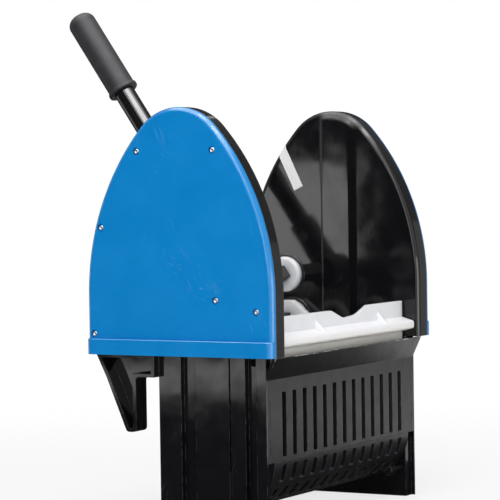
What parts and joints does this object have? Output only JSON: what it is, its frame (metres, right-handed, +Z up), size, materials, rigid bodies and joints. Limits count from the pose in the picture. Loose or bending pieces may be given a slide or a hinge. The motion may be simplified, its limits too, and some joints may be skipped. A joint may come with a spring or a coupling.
{
  "type": "mop wringer",
  "caption": "Mop wringer with arched side housings, a slotted drain trough and a geared press plate swung by a rear pull lever; it hangs on a rim by hooks or stands on its side walls.",
  "frame": {"origin": "middle of the bounding box, on the surface that the side walls stand on", "axes": "+Z up, front and mop mouth towards -Y, lever leaning back towards +Y, +X to the right seen from the front"},
  "size_m": [0.355, 0.3606, 0.5209],
  "materials": {
    "cover_blue": "satin moulded",
    "frame_black": "semi-gloss moulded",
    "press_white": "satin natural polymer",
    "gear_white": "satin natural polymer",
    "shaft_metal": "drawn bar",
    "socket_black": "black powder coat on a casting",
    "tube_black": "gloss black enamel",
    "grip_vinyl": "dipped matte vinyl",
    "screw_steel": "plated"
  },
  "bodies": {
    "frame": {"left_side_frame": "frame_black", "right_side_frame": "frame_black", "left_cover": "cover_blue", "right_cover": "cover_blue", "left_cover_screws": "screw_steel", "right_cover_screws": "screw_steel", "left_guard_screws": "screw_steel", "right_guard_screws": "screw_steel", "left_trough_screws": "screw_steel", "right_trough_screws": "screw_steel", "front_grille": "frame_black", "trough_pan": "frame_black", "front_guard": "press_white"},
    "lever": {"lever_shaft": "shaft_metal", "left_lever_bushing": "press_white", "right_lever_bushing": "press_white", "left_pinion": "gear_white", "right_pinion": "gear_white", "lever_shaft_rings": "screw_steel", "lever_socket": "socket_black", "socket_screws": "screw_steel", "lever_tube": "tube_black", "lever_grip": "grip_vinyl", "lever_bolt": "screw_steel", "lever_nut": "screw_steel"},
    "press": {"press_shaft": "shaft_metal", "left_press_bushing": "press_white", "right_press_bushing": "press_white", "left_sector": "gear_white", "right_sector": "gear_white", "press_shaft_rings": "screw_steel", "press_plate": "press_white"}
  },
  "joints": [
    {"name": "lever_pull", "type": "hinge", "parent": "frame", "child": "lever", "pos_m": [0, -0.02232, 0.2348], "axis": [1, 0, 0], "range_deg": [0, 88]},
    {"name": "press_swing", "type": "hinge", "parent": "frame", "child": "press", "pos_m": [0, -0.02933, 0.18731], "axis": [-1, 0, 0], "range_deg": [0, 40]}
  ],
  "couplings": [
    {"joint": "press_swing", "follows": "lever_pull", "ratio": 0.45454}
  ]
}
